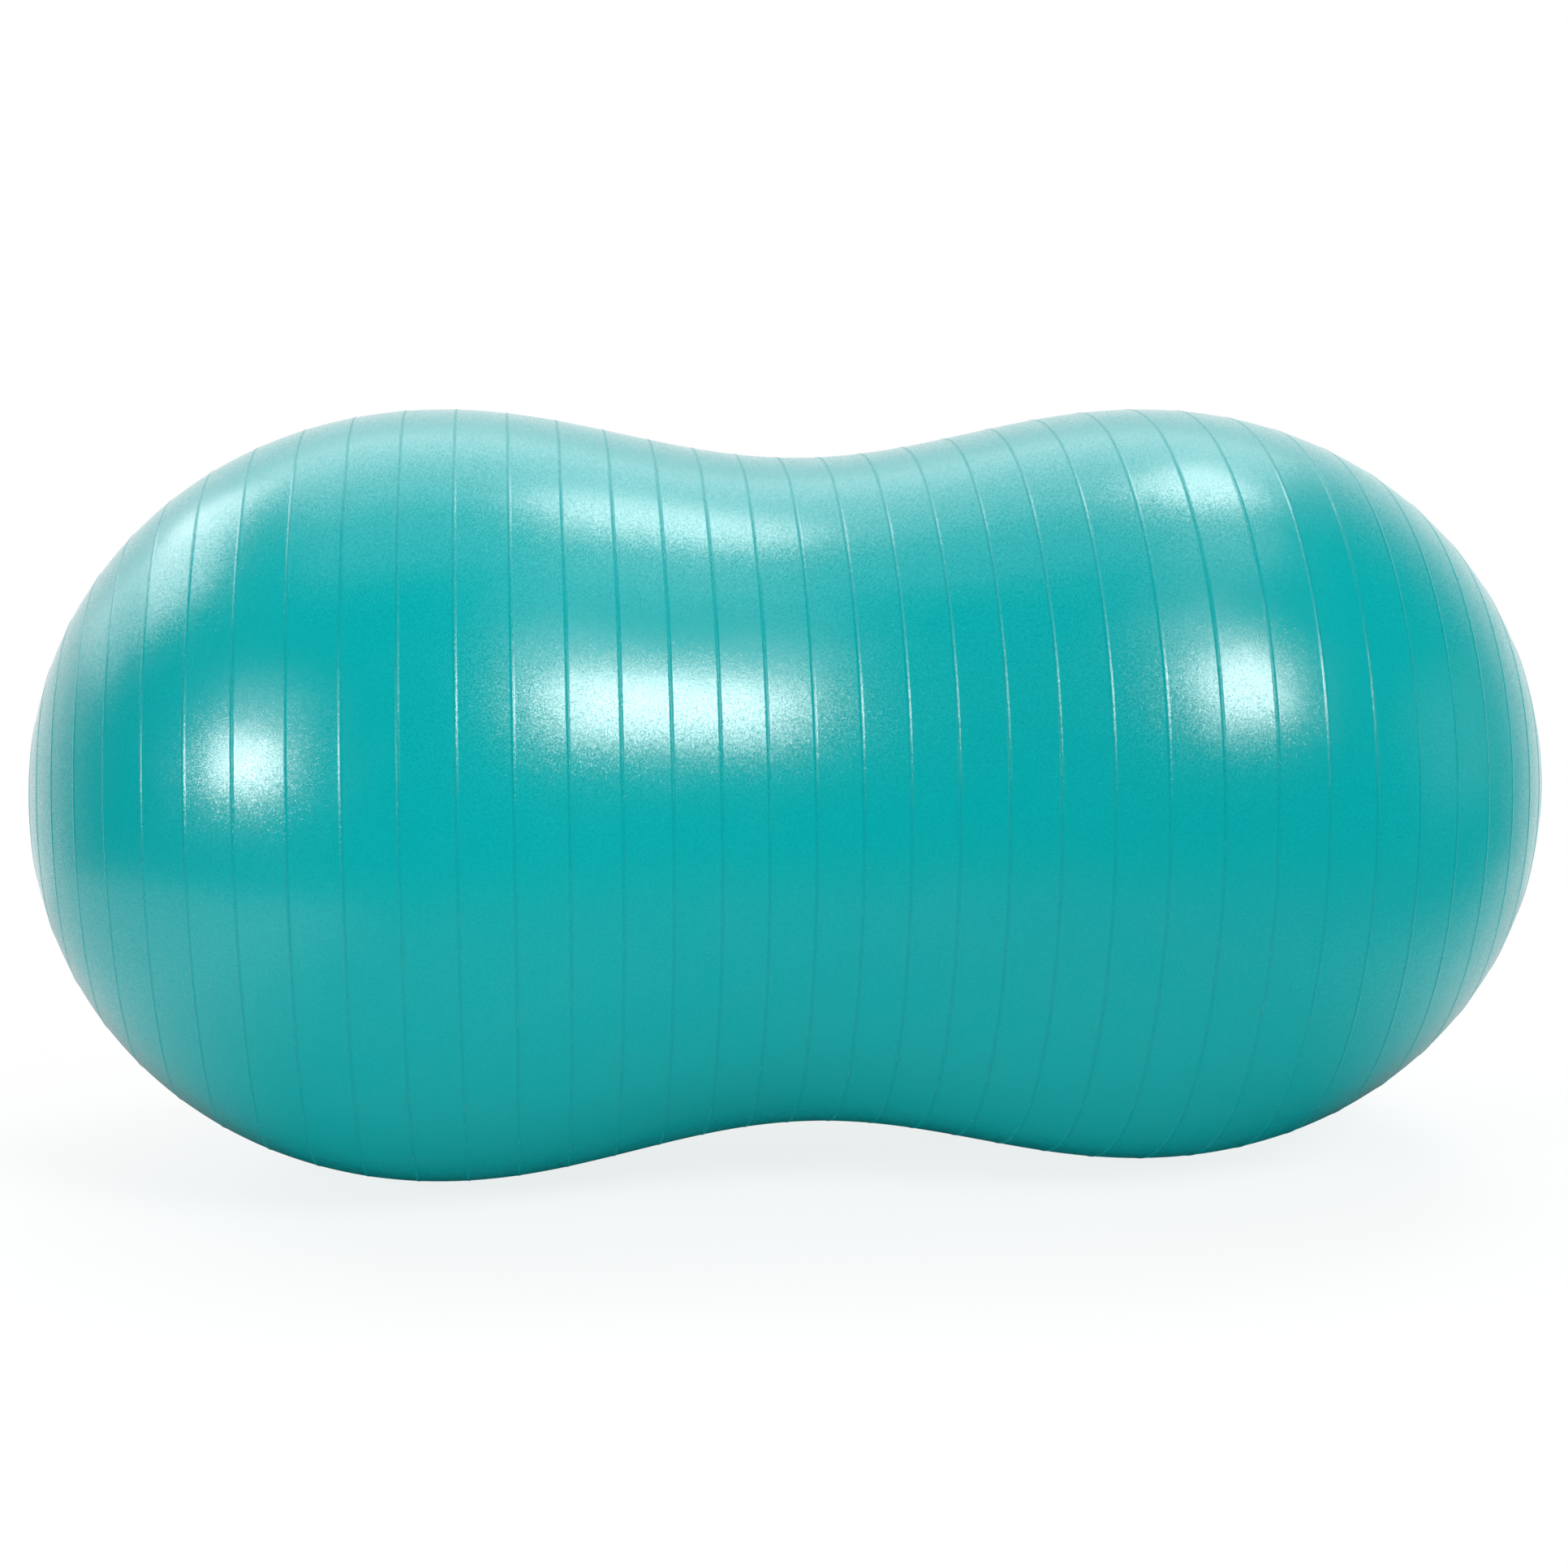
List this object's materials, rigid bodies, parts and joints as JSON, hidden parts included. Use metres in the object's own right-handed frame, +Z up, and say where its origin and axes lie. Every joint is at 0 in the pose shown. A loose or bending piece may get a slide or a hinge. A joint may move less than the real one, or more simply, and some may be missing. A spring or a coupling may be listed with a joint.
{
  "type": "peanut ball",
  "caption": "Inflated two-lobed exercise ball with a waist, raised anti-slip rings round its long axis, a moulded valve seat and a push-in plug.",
  "frame": {"origin": "on the floor, under the middle of the waist", "axes": "+X along the ball's long axis towards the valve, +Z up"},
  "size_m": [0.8998, 0.4544, 0.4534],
  "materials": {
    "teal_vinyl": "satin vinyl with a fine sandy grain",
    "valve_vinyl": "satin vinyl",
    "plug_plastic": "satin moulded polyethylene"
  },
  "bodies": {
    "ball": {"ball_skin": "teal_vinyl", "valve_seat": "valve_vinyl"},
    "plug": {"valve_plug": "plug_plastic"}
  },
  "joints": [
    {"name": "plug_pull", "type": "slide", "parent": "ball", "child": "plug", "axis": [1, 0, 0], "range_m": [0, 0.03]}
  ]
}
